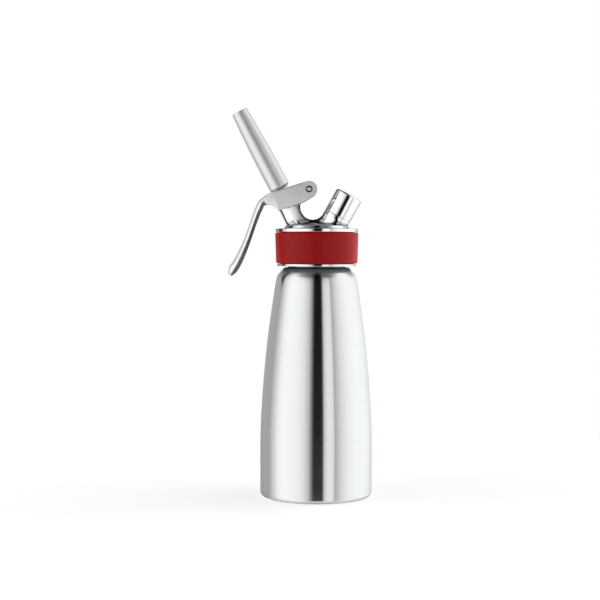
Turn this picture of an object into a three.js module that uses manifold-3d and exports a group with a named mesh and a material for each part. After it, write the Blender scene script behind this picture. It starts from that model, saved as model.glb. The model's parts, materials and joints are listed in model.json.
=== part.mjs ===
// Half-litre whipped cream dispenser: steel bottle, cast head, lever valve and capped charger thread.
// Millimetres, +Z up, origin at the centre of the bottle's base, lever towards -X, charger cap towards +X.

import * as THREE from 'three';
import { mergeVertices } from 'three/addons/utils/BufferGeometryUtils.js';
import Module from 'manifold-3d';

const wasm = await Module();
wasm.setup();

// Fits
const clearance = 0.3;          // gap that touching pieces keep
const threadGap = 0.9;          // radial room that a screw thread fills
const cutOver = 2;              // how far a cut runs past the face that it opens

// Bottle
const bottleRadius = 43.2;
const bottleHeight = 176.2;     // base to the foot of the neck
const bottleWall = 1.5;
const baseCorner = 4.4;
const shoulderTopRadius = 24.4;
const neckRadius = 22.2;
const neckHeight = 17.8;
const neckWall = 2.6;
const neckLip = 0.6;

// Head casting, from the skirt's edge up
const skirtRadius = 29.5;
const skirtLift = 0.9;          // skirt's edge above the bottle's shoulder
const skirtHeight = 1.7;
const barrelRadius = 28;
const barrelHeight = 24.3;
const rimRadius = 31.6;
const rimHeight = 2.6;
const rimRound = 0.5;
const domeRadius = 24.2;
const domeStep = 2.3;
const domeHeight = 5.5;
const domeRound = 1.6;
const crownWall = 4;
const chamberRadius = 19.5;
const chamberSide = 4.6;

// Gasket and grip band
const gasketHeight = 2.3;
const gasketInset = 0.6;        // how far the gasket overhangs the neck's bore
const bandFootWall = 3;
const bandTopWall = 3.8;
const bandFootRound = 2.2;
const bandTopRound = 1.1;

// Valve axis: it leans away from the charger, and passes the lever's pivot at the pivot arm
const valveTilt = THREE.MathUtils.degToRad(28.2);
const archStart = 160;          // degrees round the arch, where its rounded saddle starts and ends
const archEnd = 334;
const pivotX = -6.1;
const pivotRise = 24.7;         // pivot above the dome's top
const pivotArm = 19.07;
const towerRadius = 7;
const towerOffset = 0.9;        // the tower's centre lies this far outside the valve axis
const towerDrop = 2.6;          // tower's top below the pusher's centre
const lugRadius = 5.4;
const lugWidth = 13.2;
const lugEdge = 1.5;
const archRadius = 9.5;
const archX = -3.1;
const archRise = 11.8;
const saddleDepth = 8;          // arch to the middle of the tower, through the metal beside it
const saddleHeel = 11;          // arch to the middle of the boss

// Valve
const stemRadius = 3.2;
const stemBore = 1.7;
const stemStroke = 3.4;
const collarRadius = 4.6;
const collarHeight = 2.5;
const springLength = 9.8;
const springWire = 0.8;
const springTurns = 5;
const guideLength = 12;
const guideRadius = 6.2;
const ringWire = 1;
const sealRadius = 5.4;
const sealHeight = 2;
const nutRadius = 4.2;
const nutHeight = 3.4;
const spigotRadius = 2.2;
const portRadius = 1.1;

// Decorator tip and its adapter
const tipBase = 10.9;           // tip's lower edge above the pusher's centre
const tipLength = 66.6;
const tipRadius = 8.05;
const tipChamfer = 1.5;
const tipWall = 1.1;
const adapterRadius = 4.7;
const adapterThreadGap = 0.6;
const adapterFlange = 5.7;
const flangeHeight = 2;
const adapterSkirt = 1.3;
const adapterLength = 13.7;
const adapterBore = 2.9;
const stemTopReach = 9.7;

// Lever
const leverTilt = THREE.MathUtils.degToRad(17.5);
const yokeLength = 36.5;
const yokeAbove = 6.3;
const yokeBelow = 8.8;
const yokeHalfWidth = 9.6;
const cheekWall = 2.1;
const webThickness = 2;
const yokeEdge = 1.6;
const leverReach = 62.2;        // pivot to the handle's outermost point, across
const leverDrop = 66.5;         // pivot to the handle's lowest point, down
const pusherRadius = 1.8;
const slotRadius = 6.2;
const slotNear = 1.3;
const slotFar = 1.5;
const lugWindow = 9;
const pinRadius = 1.5;
const bushWall = 0.65;

// Charger thread and its cap
const chargerTilt = THREE.MathUtils.degToRad(29);
const seamX = 15.8;
const seamRise = 4.2;
const bossRadius = 10.7;
const bossFootRadius = 10.2;
const bossDepth = 12;
const gasFootRadius = 9.2;
const studRadius = 7.4;
const studReach = 9;
const studRootDepth = 7.6;
const studPocketRadius = 4.6;
const studPocketDepth = 5;
const gasChannel = 2;
const capLength = 18.8;
const capRound = 1.5;
const capTop = 2.3;
const holderRadius = 3.4;
const pinShank = 0.9;
const pinFlange = 2.2;
const pinFlangeHeight = 1;
const pinReach = 3.2;
const sealThickness = 1.2;
const discThickness = 1.1;

// Facets
const wideSteps = 40;
const roundSteps = 28;
const smallSteps = 16;
const arcSteps = 3;

// Shares of the bottle's height and radius up its side
const bodyShares = [[0.2, 0.998], [0.37, 0.977], [0.55, 0.931], [0.72, 0.862], [0.86, 0.78], [0.935, 0.738]];
const shoulderShares = [[0.958, 0.717], [0.976, 0.66], [0.991, 0.603]];

// Shares of the tip's length and base radius, from the base to the mouth
const tipShares = [
  [0.2, 1], [0.41, 0.975], [0.55, 0.95], [0.66, 0.912], [0.78, 0.876], [0.89, 0.825], [1, 0.785],
];

// Yoke stations: outer edge along and above, inner edge along and below, width, roundness of the back
const yokeShares = [
  [0, 1, 0, -0.74, 1, 0], [0.22, 1, 0.22, -0.93, 1, 0], [0.49, 1, 0.49, -0.99, 1, 0],
  [0.7, 1, 0.723, -1, 1, 0], [0.755, 1, 0.767, -0.75, 1, 0.05], [0.82, 0.97, 0.822, -0.43, 0.99, 0.15],
  [0.9, 0.88, 0.885, -0.22, 0.97, 0.35], [1, 0.69, 0.948, -0.14, 0.94, 0.6],
];
// Handle stations, the same in shares of the lever's reach and drop, measured out and down from the pivot
const handleShares = [
  [0.625, 0.139, 0.556, 0.188, 0.9, 0.85], [0.651, 0.187, 0.574, 0.226, 0.86, 1],
  [0.688, 0.268, 0.605, 0.289, 0.83, 1], [0.741, 0.414, 0.656, 0.416, 0.79, 1],
  [0.804, 0.575, 0.725, 0.605, 0.79, 1], [0.876, 0.725, 0.786, 0.755, 0.83, 1],
  [0.937, 0.827, 0.844, 0.876, 0.84, 1], [0.979, 0.883, 0.884, 0.94, 0.75, 1],
  [1, 0.94, 0.918, 0.976, 0.55, 1], [0.997, 0.98, 0.953, 1, 0.25, 1],
];
const handleCrownShare = 0.62;
const handleWebShare = 0.42;
const handleSideShare = 0.28;
const hollowShare = 0.93;

// Shares of the dome's radius and height where its crown flattens, and of the chamber under it
const crownShares = [[0.66, 0.77], [0.33, 0.94]];
const chamberShare = 0.66;
const chamberDropShare = 0.2;

// Heights and places that follow from the sizes above
const neckTop = bottleHeight + neckHeight;
const neckBore = neckRadius - neckWall;
const skirtZ = bottleHeight + skirtLift;
const barrelZ = skirtZ + skirtHeight;
const rimZ = barrelZ + barrelHeight;
const rimTop = rimZ + rimHeight;
const domeTop = rimTop + domeHeight;
const gasketZ = neckTop + clearance;
const seatZ = gasketZ + gasketHeight + clearance;
const threadBore = neckRadius + threadGap;
const bandBore = barrelRadius + clearance;
const bandFootRadius = bandBore + bandFootWall;
const bandTopRadius = bandBore + bandTopWall;
const pivotZ = domeTop + pivotRise;
const archZ = domeTop + archRise;
const seamZ = domeTop + seamRise;
const valveAcross = new THREE.Vector3(Math.cos(valveTilt), 0, Math.sin(valveTilt));
const pivot = new THREE.Vector3(pivotX, 0, pivotZ);
const pusher = pivot.clone().addScaledVector(valveAcross, -pivotArm);
const collarTop = -(pusherRadius + clearance);
const springTop = collarTop - collarHeight - clearance;
const springSeat = springTop - springLength - clearance;
const guideEnd = springSeat - guideLength;
const springBore = collarRadius + clearance;
const tipThreadRadius = adapterRadius + adapterThreadGap;
const cheekInner = yokeHalfWidth - cheekWall;
const bushRadius = pinRadius + clearance + bushWall;
const capBore = studRadius + threadGap;

// Places the valve's own pieces: the pusher's centre is the origin and the valve axis is +Z
const valvePlace = new THREE.Matrix4().makeRotationY(-valveTilt).setPosition(pusher);
// Places the charger's own pieces: the cap's seam is the origin and the charger axis is +Z
const chargerPlace = new THREE.Matrix4().makeRotationY(chargerTilt).setPosition(seamX, 0, seamZ);

function solidOf(geometry) {
  const bare = geometry.clone();
  bare.deleteAttribute('normal');
  bare.deleteAttribute('uv');
  const merged = mergeVertices(bare);
  const index = merged.index.array;
  const kept = [];
  for (let i = 0; i < index.length; i += 3) {
    const [a, b, c] = [index[i], index[i + 1], index[i + 2]];
    if (a !== b && b !== c && c !== a) kept.push(a, b, c);
  }
  const vertProperties = new Float32Array(merged.attributes.position.array);
  return new wasm.Manifold(new wasm.Mesh({ numProp: 3, vertProperties, triVerts: new Uint32Array(kept) }));
}

function geometryOf(solid) {
  const mesh = solid.getMesh();
  const geometry = new THREE.BufferGeometry();
  geometry.setAttribute('position', new THREE.BufferAttribute(new Float32Array(mesh.vertProperties), 3));
  geometry.setIndex(new THREE.BufferAttribute(new Uint32Array(mesh.triVerts), 1));
  return geometry;
}

// A body turned about Z from [radius, height] pairs, drawn anticlockwise and closed or ended on the axis
function turned(points, steps) {
  const profile = points.map(([radius, height]) => new THREE.Vector2(radius, height));
  return new THREE.LatheGeometry(profile, steps).rotateX(Math.PI / 2);
}

function turnedSolid(points, steps) {
  return solidOf(turned(points, steps));
}

function rod(radius, low, high, steps) {
  return turned([[0, low], [radius, low], [radius, high], [0, high]], steps);
}

function rodSolid(radius, low, high, steps, place) {
  const geometry = rod(radius, low, high, steps);
  return solidOf(place ? geometry.applyMatrix4(place) : geometry);
}

function sleeve(inner, outer, low, high, steps) {
  return turned([[inner, low], [outer, low], [outer, high], [inner, high], [inner, low]], steps);
}

function ringOf(middle, wire, height, steps) {
  const points = [];
  for (let i = 0; i <= 2 * arcSteps + 2; i++) {
    const angle = i * Math.PI / (arcSteps + 1);
    points.push([middle + wire / 2 * Math.cos(angle), height + wire / 2 * Math.sin(angle)]);
  }
  points[points.length - 1] = points[0];
  return turned(points, steps);
}

// A round rod across the dispenser, along Y, centred on a point
function crossRod(radius, centre, from, to, steps) {
  const turn = new THREE.Matrix4().makeRotationX(Math.PI / 2).setPosition(centre);
  return solidOf(rod(radius, -to, -from, steps).applyMatrix4(turn));
}

function arc(centreR, centreZ, radius, from, to) {
  const points = [];
  for (let i = 0; i <= arcSteps; i++) {
    const angle = THREE.MathUtils.degToRad(from + (to - from) * i / arcSteps);
    points.push([centreR + radius * Math.cos(angle), centreZ + radius * Math.sin(angle)]);
  }
  return points;
}

// A flat outline in X and Z, given width across Y and rounded edges
function plate(outline, width, edge) {
  const shape = new THREE.Shape(outline.map(([x, z]) => new THREE.Vector2(x, z)));
  const settings = {
    depth: width - 2 * edge, bevelThickness: edge, bevelSize: edge, bevelOffset: -edge, bevelSegments: 2,
  };
  const geometry = new THREE.ExtrudeGeometry(shape, settings);
  return geometry.translate(0, 0, edge - width / 2).rotateX(Math.PI / 2);
}

function bottleShape() {
  const outer = bodyShares.map(([h, r]) => [bottleRadius * r, bottleHeight * h]);
  const shoulder = shoulderShares.map(([h, r]) => [bottleRadius * r, bottleHeight * h]);
  const inward = ([r, z]) => [r - bottleWall, z];
  const under = ([r, z]) => [r - bottleWall, z - bottleWall / 2];
  return turned([
    [0, 0],
    ...arc(bottleRadius - baseCorner, baseCorner, baseCorner, -90, 0),
    ...outer,
    ...shoulder,
    [shoulderTopRadius, bottleHeight],
    [neckRadius, bottleHeight],
    [neckRadius, neckTop - neckLip],
    [neckRadius - neckLip, neckTop],
    [neckBore, neckTop],
    [neckBore, bottleHeight - bottleWall],
    ...shoulder.map(under).reverse(),
    ...outer.map(inward).reverse(),
    ...arc(bottleRadius - baseCorner, baseCorner, baseCorner - bottleWall, 0, -90),
    [0, bottleWall],
  ], wideSteps);
}

function headOuter() {
  return turnedSolid([
    [0, skirtZ],
    [skirtRadius - rimRound, skirtZ],
    [skirtRadius, skirtZ + rimRound],
    [skirtRadius, barrelZ],
    [barrelRadius, barrelZ],
    [barrelRadius, rimZ],
    [rimRadius - rimRound, rimZ],
    [rimRadius, rimZ + rimRound],
    [rimRadius, rimTop - rimRound],
    [rimRadius - rimRound, rimTop],
    [domeRadius + domeRound / 2, rimTop + rimRound],
    [domeRadius, rimTop + domeStep - domeRound / 2],
    [domeRadius - domeRound, rimTop + domeStep + domeRound / 4],
    ...crownShares.map(([r, h]) => [domeRadius * r, rimTop + domeHeight * h]),
    [0, domeTop],
  ], wideSteps);
}

function headHollow() {
  return turnedSolid([
    [0, skirtZ - cutOver],
    [threadBore, skirtZ - cutOver],
    [threadBore, seatZ],
    [chamberRadius, seatZ],
    [chamberRadius, seatZ + chamberSide],
    [chamberRadius * chamberShare, domeTop - crownWall - domeHeight * chamberDropShare],
    [0, domeTop - crownWall],
  ], wideSteps);
}

// The blade beside the tower that carries the lug, with the top of the round arch cut out of it
function bladeSolid() {
  const along = (u, v) => [
    pivot.x - u * Math.cos(leverTilt) - v * Math.sin(leverTilt),
    pivot.z - u * Math.sin(leverTilt) + v * Math.cos(leverTilt),
  ];
  const round = [];
  for (let degrees = 45; degrees <= 225; degrees += 20) {
    const angle = THREE.MathUtils.degToRad(degrees);
    round.push(along(lugRadius * Math.cos(angle), lugRadius * Math.sin(angle)));
  }
  const down = new THREE.Vector3(0, 0, -towerDrop).applyMatrix4(valvePlace);
  const side = new THREE.Vector3(towerRadius - towerOffset, 0, -towerDrop).applyMatrix4(valvePlace);
  const low = new THREE.Vector3(0, 0, -towerDrop - saddleDepth / 2).applyMatrix4(valvePlace);
  const blade = solidOf(plate([
    [down.x, down.z], [side.x, side.z], ...round, [archX, archZ], [low.x, low.z],
  ], lugWidth, lugEdge));
  const arch = crossRod(archRadius, new THREE.Vector3(archX, 0, archZ), -lugWidth, lugWidth, wideSteps);
  return blade.subtract(arch);
}

// The rounded saddle below the arch, from the tower's side down over the crown and up to the boss
function saddleSolid() {
  const rings = [];
  for (let i = 0; i <= 2 * arcSteps + 2; i++) {
    const share = i / (2 * arcSteps + 2);
    const angle = THREE.MathUtils.degToRad(archStart + (archEnd - archStart) * share);
    const depth = THREE.MathUtils.lerp(saddleDepth, saddleHeel, THREE.MathUtils.smoothstep(share, 0.5, 0.9));
    const out = new THREE.Vector3(Math.cos(angle), 0, Math.sin(angle));
    const base = new THREE.Vector3(archX, 0, archZ).addScaledVector(out, archRadius + depth);
    const ring = [];
    for (let j = 0; j <= 4 * arcSteps; j++) {
      const turn = j * Math.PI / (4 * arcSteps);
      const point = base.clone().addScaledVector(out, -depth * Math.sin(turn));
      ring.push(point.setY(lugWidth / 2 * Math.cos(turn)));
    }
    rings.push(ring);
  }
  return solidOf(loft(rings));
}

function towerSolid() {
  const place = valvePlace.clone().multiply(new THREE.Matrix4().makeTranslation(-towerOffset, 0, 0));
  return rodSolid(towerRadius, springSeat - guideLength / 2, -towerDrop, roundSteps, place);
}

function bossSolid() {
  const points = [
    [0, -bossDepth], [bossFootRadius, -bossDepth], [bossFootRadius, -bossDepth / 2],
    [bossRadius, -bossDepth / 4], [bossRadius, 0], [0, 0],
  ];
  return solidOf(turned(points, roundSteps).applyMatrix4(chargerPlace));
}

// The bores of the valve: spring pocket, ring groove, stem guide and the two slots that clear the pushers
function valveBores() {
  const groove = springSeat - guideLength / 3;
  const slotEnd = -pusherRadius - stemStroke - clearance;
  const slotHalf = pusherRadius + 2 * clearance;
  const slot = new THREE.BoxGeometry(2 * slotHalf, 4 * towerRadius, -slotEnd);
  slot.translate(0, 0, slotEnd / 2).applyMatrix4(valvePlace);
  const bore = stemRadius + clearance;
  return rodSolid(springBore, springSeat, cutOver - towerDrop, roundSteps, valvePlace)
    .add(rodSolid(bore, guideEnd - cutOver, springSeat + cutOver, roundSteps, valvePlace))
    .add(rodSolid(bore + ringWire, groove - ringWire, groove + ringWire, roundSteps, valvePlace))
    .add(solidOf(slot));
}

function chargerBores() {
  const foot = -studRootDepth - clearance - discThickness;
  return rodSolid(studRadius + clearance, foot, cutOver, roundSteps, chargerPlace)
    .add(rodSolid(gasChannel, -bossDepth - cutOver, 0, smallSteps, chargerPlace));
}

function headShape() {
  const guide = rodSolid(guideRadius, guideEnd, springSeat, roundSteps, valvePlace);
  const gas = rodSolid(gasFootRadius, -bossDepth, -bossDepth / 2, roundSteps, chargerPlace);
  const hinge = crossRod(pinRadius + clearance, pivot, -lugWidth, lugWidth, smallSteps);
  const cast = headOuter()
    .add(towerSolid())
    .add(bladeSolid())
    .add(saddleSolid())
    .add(bossSolid())
    .subtract(headHollow())
    .add(guide)
    .add(gas);
  return geometryOf(cast.subtract(valveBores()).subtract(chargerBores()).subtract(hinge));
}

function bandShape() {
  const low = barrelZ + clearance;
  const high = rimZ - clearance;
  return turned([
    [bandBore, low],
    ...arc(bandFootRadius - bandFootRound, low + bandFootRound, bandFootRound, -90, 0),
    [bandFootRadius, low + (high - low) / 3],
    ...arc(bandTopRadius - bandTopRound, high - bandTopRound, bandTopRound, 0, 90),
    [bandBore, high],
    [bandBore, low],
  ], wideSteps);
}

function gasketShape() {
  return sleeve(neckBore - gasketInset, threadBore - clearance, gasketZ, gasketZ + gasketHeight, wideSteps);
}

function stemShape() {
  const foot = guideEnd - sealHeight - nutHeight - 2 * clearance;
  const shoulder = guideEnd - clearance / 2;
  const top = tipBase - clearance - flangeHeight - adapterSkirt - clearance;
  const body = turnedSolid([
    [0, foot], [spigotRadius, foot], [spigotRadius, shoulder], [stemRadius, shoulder],
    [stemRadius, collarTop - collarHeight], [collarRadius, collarTop - collarHeight],
    [collarRadius, collarTop], [stemRadius, collarTop], [stemRadius, top],
    [adapterBore - clearance, top], [adapterBore - clearance, top + stemTopReach], [0, top + stemTopReach],
  ], roundSteps);
  const portZ = shoulder + 2 * portRadius;
  const bore = rodSolid(stemBore, portZ - portRadius, top + stemTopReach + cutOver, smallSteps);
  const across = 2 * stemRadius;
  const port = crossRod(portRadius, new THREE.Vector3(0, 0, portZ), -across, across, smallSteps);
  return geometryOf(body.subtract(bore).subtract(port));
}

// A six-sided nut on the stem's lower spigot
function nutShape(top) {
  const shape = new THREE.Shape();
  for (let i = 0; i < 6; i++) {
    const angle = i * Math.PI / 3;
    shape[i ? 'lineTo' : 'moveTo'](nutRadius * Math.cos(angle), nutRadius * Math.sin(angle));
  }
  shape.holes.push(new THREE.Path().absarc(0, 0, spigotRadius + clearance, 0, 2 * Math.PI, true));
  const settings = { depth: nutHeight, bevelEnabled: false, curveSegments: smallSteps };
  return new THREE.ExtrudeGeometry(shape, settings).translate(0, 0, top - nutHeight);
}

function springShape() {
  const middle = (stemRadius + springBore) / 2;
  const steps = 8;
  const sides = 5;
  const rings = [];
  const count = springTurns * steps;
  for (let i = 0; i <= count; i++) {
    const angle = i / steps * 2 * Math.PI;
    const height = springTop - springLength + springWire + (springLength - 2 * springWire) * i / count;
    const out = new THREE.Vector3(Math.cos(angle), Math.sin(angle), 0);
    const lift = new THREE.Vector3(0, 0, 1);
    const ring = [];
    for (let j = 0; j < sides; j++) {
      const turn = j / sides * 2 * Math.PI;
      const point = out.clone().multiplyScalar(middle + springWire / 2 * Math.cos(turn));
      ring.push(point.addScaledVector(lift, height + springWire / 2 * Math.sin(turn)));
    }
    rings.push(ring);
  }
  let least = Infinity;
  for (let i = 0; i + steps < rings.length; i++) {
    for (const low of rings[i]) {
      for (const high of rings[i + steps]) least = Math.min(least, low.distanceTo(high));
    }
  }
  console.log('valve_spring: least gap between turns', least.toFixed(2), 'mm');
  return loft(rings);
}

// Joins rings of points into one closed body, with flat ends
function loft(rings) {
  const sides = rings[0].length;
  const positions = rings.flat().flatMap((p) => [p.x, p.y, p.z]);
  const index = [];
  for (let i = 0; i + 1 < rings.length; i++) {
    for (let j = 0; j < sides; j++) {
      const a = i * sides + j;
      const b = i * sides + (j + 1) % sides;
      index.push(a, a + sides, b, b, a + sides, b + sides);
    }
  }
  const last = (rings.length - 1) * sides;
  for (const [a, b, c] of endFaces(rings[0])) index.push(a, b, c);
  for (const [a, b, c] of endFaces(rings[rings.length - 1])) index.push(last + c, last + b, last + a);
  const geometry = new THREE.BufferGeometry();
  geometry.setAttribute('position', new THREE.Float32BufferAttribute(positions, 3));
  geometry.setIndex(index);
  return outward(geometry);
}

function endFaces(ring) {
  const centre = ring.reduce((sum, p) => sum.add(p), new THREE.Vector3()).divideScalar(ring.length);
  const normal = new THREE.Vector3();
  for (let i = 0; i < ring.length; i++) {
    const next = ring[(i + 1) % ring.length];
    normal.add(ring[i].clone().sub(centre).cross(next.clone().sub(centre)));
  }
  normal.normalize();
  const across = ring[1].clone().sub(ring[0]).normalize();
  const up = normal.clone().cross(across);
  const out = ring.map((p) => p.clone().sub(centre));
  const flat = out.map((p) => new THREE.Vector2(p.dot(across), p.dot(up)));
  return THREE.ShapeUtils.triangulateShape(flat, []);
}

// Turns a closed mesh's faces outwards when its volume comes out negative
function outward(geometry) {
  const p = geometry.attributes.position;
  const index = geometry.index.array;
  const corner = (k) => new THREE.Vector3().fromBufferAttribute(p, index[k]);
  let volume = 0;
  for (let i = 0; i < index.length; i += 3) volume += corner(i).dot(corner(i + 1).cross(corner(i + 2)));
  if (volume < 0) {
    for (let i = 0; i < index.length; i += 3) [index[i], index[i + 1]] = [index[i + 1], index[i]];
  }
  return geometry;
}

// One section of the lever, an open channel: its back lies on the outer point, its edges end at the inner one
function leverSection(outer, inner, halfWidth, roundness) {
  const depth = outer.distanceTo(inner);
  const inwards = inner.clone().sub(outer).normalize();
  const mix = THREE.MathUtils.lerp;
  const crownDeep = mix(yokeEdge, depth * handleCrownShare, roundness);
  const crownWide = mix(yokeEdge, halfWidth, roundness);
  const side = mix(cheekWall, halfWidth * handleSideShare, roundness);
  const web = mix(webThickness, depth * handleWebShare, roundness);
  const hollowWide = mix(yokeEdge / 2, halfWidth - side, roundness);
  const hollowDeep = mix(yokeEdge / 2, depth * hollowShare - web, roundness);
  const half = [];
  for (let i = 0; i <= 4; i++) {
    const angle = i * Math.PI / 8;
    const y = halfWidth - crownWide + crownWide * Math.cos(angle);
    half.push([y, crownDeep - crownDeep * Math.sin(angle)]);
  }
  const hollow = [];
  for (let i = 4; i >= 0; i--) {
    const angle = i * Math.PI / 8;
    const y = halfWidth - side - hollowWide + hollowWide * Math.cos(angle);
    hollow.push([y, web + hollowDeep - hollowDeep * Math.sin(angle)]);
  }
  const right = [[halfWidth, depth], ...half];
  const hole = [...hollow, [halfWidth - side, depth]];
  const mirror = (list) => list.map(([y, d]) => [-y, d]).reverse();
  const section = [...right, ...mirror(right), ...mirror(hole), ...hole];
  return section.map(([y, d]) => outer.clone().addScaledVector(inwards, d).add(new THREE.Vector3(0, y, 0)));
}

function leverStations() {
  const back = new THREE.Vector3(-Math.cos(leverTilt), 0, -Math.sin(leverTilt));
  const rise = new THREE.Vector3(-Math.sin(leverTilt), 0, Math.cos(leverTilt));
  const along = (u, v) => back.clone().multiplyScalar(u).addScaledVector(rise, v);
  const yoke = yokeShares.map(([u1, v1, u2, v2, wide, roundness]) => ({
    outer: along(u1 * yokeLength, v1 * yokeAbove),
    inner: along(u2 * yokeLength, v2 * yokeBelow),
    wide, roundness,
  }));
  const handle = handleShares.map(([x1, z1, x2, z2, wide, roundness]) => ({
    outer: new THREE.Vector3(-x1 * leverReach, 0, -z1 * leverDrop),
    inner: new THREE.Vector3(-x2 * leverReach, 0, -z2 * leverDrop),
    wide, roundness,
  }));
  return [...yoke, ...handle];
}

// The lever about its pivot: lofted channel, two rounded cheeks, pushers, stem slot and pivot holes
function leverShape() {
  const rings = leverStations().map(({ outer, inner, wide, roundness }) => (
    leverSection(outer, inner, wide * yokeHalfWidth, roundness)));
  const origin = new THREE.Vector3();
  const foot = pusher.clone().sub(pivot);
  let lever = solidOf(loft(rings));
  for (const [from, to] of [[cheekInner, yokeHalfWidth], [-yokeHalfWidth, -cheekInner]]) {
    lever = lever.add(crossRod(yokeAbove, origin, from, to, roundSteps));
  }
  const window = new THREE.BoxGeometry(2 * lugWindow, 2 * cheekInner, 2 * yokeAbove);
  window.translate(0, 0, yokeAbove).rotateY(-leverTilt);
  lever = lever.subtract(solidOf(window));
  const slotPlace = new THREE.Matrix4().makeRotationY(-valveTilt).setPosition(foot);
  for (const shift of [slotNear, -slotFar]) {
    const place = slotPlace.clone().multiply(new THREE.Matrix4().makeTranslation(shift, 0, 0));
    lever = lever.subtract(rodSolid(slotRadius, pusherRadius, 4 * yokeAbove, roundSteps, place));
  }
  const reach = stemRadius + clearance;
  for (const [from, to] of [[reach, cheekInner + cheekWall / 2], [-cheekInner - cheekWall / 2, -reach]]) {
    lever = lever.add(crossRod(pusherRadius, foot, from, to, smallSteps));
  }
  const hole = crossRod(bushRadius + clearance, origin, -2 * yokeHalfWidth, 2 * yokeHalfWidth, smallSteps);
  return geometryOf(lever.subtract(hole));
}

// A bush in one cheek of the lever, on the side that the sign gives
function bushShape(sign) {
  const low = Math.min(sign * cheekInner, sign * yokeHalfWidth);
  return sleeve(pinRadius + clearance, bushRadius, low, low + cheekWall, smallSteps).rotateX(Math.PI / 2);
}

function tipShape() {
  const top = tipBase + tipLength;
  const mouth = tipRadius * tipShares[tipShares.length - 1][1];
  const threadTop = tipBase + adapterLength - adapterSkirt - flangeHeight + cutOver;
  return turned([
    [tipThreadRadius, tipBase],
    [tipRadius - tipChamfer, tipBase],
    [tipRadius, tipBase + tipChamfer],
    ...tipShares.map(([h, r]) => [tipRadius * r, tipBase + tipLength * h]),
    [mouth - tipWall, top],
    [adapterRadius, threadTop + cutOver],
    [tipThreadRadius, threadTop],
    [tipThreadRadius, tipBase],
  ], roundSteps);
}

function adapterLevels() {
  const flangeTop = tipBase - clearance;
  const low = flangeTop - flangeHeight - adapterSkirt;
  const top = low + adapterLength;
  return { low, flangeLow: flangeTop - flangeHeight, flangeTop, top, groove: top - 2 * ringWire };
}

function adapterShape() {
  const { low, flangeLow, flangeTop, top, groove } = adapterLevels();
  const grooveRadius = adapterRadius - ringWire;
  const boreTop = low + stemTopReach;
  return turned([
    [adapterBore, low], [adapterRadius, low], [adapterRadius, flangeLow], [adapterFlange, flangeLow],
    [adapterFlange, flangeTop], [adapterRadius, flangeTop], [adapterRadius, groove - ringWire],
    [grooveRadius, groove - ringWire], [grooveRadius, groove + ringWire], [adapterRadius, groove + ringWire],
    [adapterRadius, top], [stemBore, top], [stemBore, boreTop], [adapterBore, boreTop], [adapterBore, low],
  ], roundSteps);
}

function capShape() {
  return turned([
    [capBore, clearance / 2],
    [bossRadius, clearance / 2],
    ...arc(bossRadius - capRound, capLength - capRound, capRound, 0, 90),
    [0, capLength],
    [0, capLength - capTop],
    [capBore - capTop / 2, capLength - capTop],
    [capBore, capLength - capTop - capTop / 2],
    [capBore, clearance / 2],
  ], roundSteps);
}

function studShape() {
  const pocket = studReach - studPocketDepth;
  const bore = holderRadius + clearance;
  return turned([
    [bore, -studRootDepth], [studRadius, -studRootDepth],
    [studRadius, studReach - neckLip], [studRadius - neckLip, studReach],
    [studPocketRadius, studReach], [studPocketRadius, pocket], [bore, pocket], [bore, -studRootDepth],
  ], roundSteps);
}

function pinShape() {
  const low = -studRootDepth + discThickness / 2;
  const high = studReach - studPocketDepth + pinReach;
  return turned([
    [0, low], [pinFlange, low], [pinFlange, low + pinFlangeHeight], [pinShank, low + pinFlangeHeight],
    [pinShank, high - 2 * pinShank], [0, high],
  ], smallSteps);
}

function holderShape() {
  const low = -studRootDepth + discThickness / 2 + pinFlangeHeight + clearance;
  const high = studReach - studPocketDepth - clearance;
  return sleeve(pinShank + clearance, holderRadius, low, high, smallSteps);
}

// Steel, cast alloy, rubber and the band, each piece with its own copy
const finishes = {
  brushed: { color: 0xc9cbcd, roughness: 0.34, metalness: 1 },
  polished: { color: 0xe2e4e6, roughness: 0.08, metalness: 1 },
  satin: { color: 0xb9bdbf, roughness: 0.3, metalness: 1 },
  spring: { color: 0x9a9da0, roughness: 0.3, metalness: 1 },
  brass: { color: 0xc2a15a, roughness: 0.35, metalness: 1 },
  band: { color: 0x9c1d24, roughness: 0.55, metalness: 0 },
  rubber: { color: 0x2a2b2d, roughness: 0.6, metalness: 0 },
  gasket: { color: 0xb8262b, roughness: 0.55, metalness: 0 },
};

function piece(name, geometry, finish) {
  const mesh = new THREE.Mesh(geometry, new THREE.MeshStandardMaterial(finishes[finish]));
  mesh.name = name;
  return mesh;
}

function valveGroup() {
  const group = new THREE.Group();
  group.position.copy(pusher);
  group.rotation.y = -valveTilt;
  const { groove } = adapterLevels();
  const sealTop = guideEnd - clearance;
  const nutTop = sealTop - sealHeight - clearance;
  const ringMiddle = stemRadius + clearance + ringWire / 2;
  const ringHeight = springSeat - guideLength / 3;
  const spigotHole = spigotRadius + clearance;
  group.add(
    piece('valve_stem', stemShape(), 'satin'),
    piece('valve_seal', sleeve(spigotHole, sealRadius, sealTop - sealHeight, sealTop, smallSteps), 'rubber'),
    piece('valve_nut', nutShape(nutTop), 'satin'),
    piece('valve_spring', springShape(), 'spring'),
    piece('stem_ring', ringOf(ringMiddle, ringWire, ringHeight, smallSteps), 'rubber'),
    piece('tip_adapter', adapterShape(), 'satin'),
    piece('adapter_ring', ringOf(adapterRadius - ringWire / 4, ringWire, groove, smallSteps), 'rubber'),
    piece('decorator_tip', tipShape(), 'brushed'),
  );
  return group;
}

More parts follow.
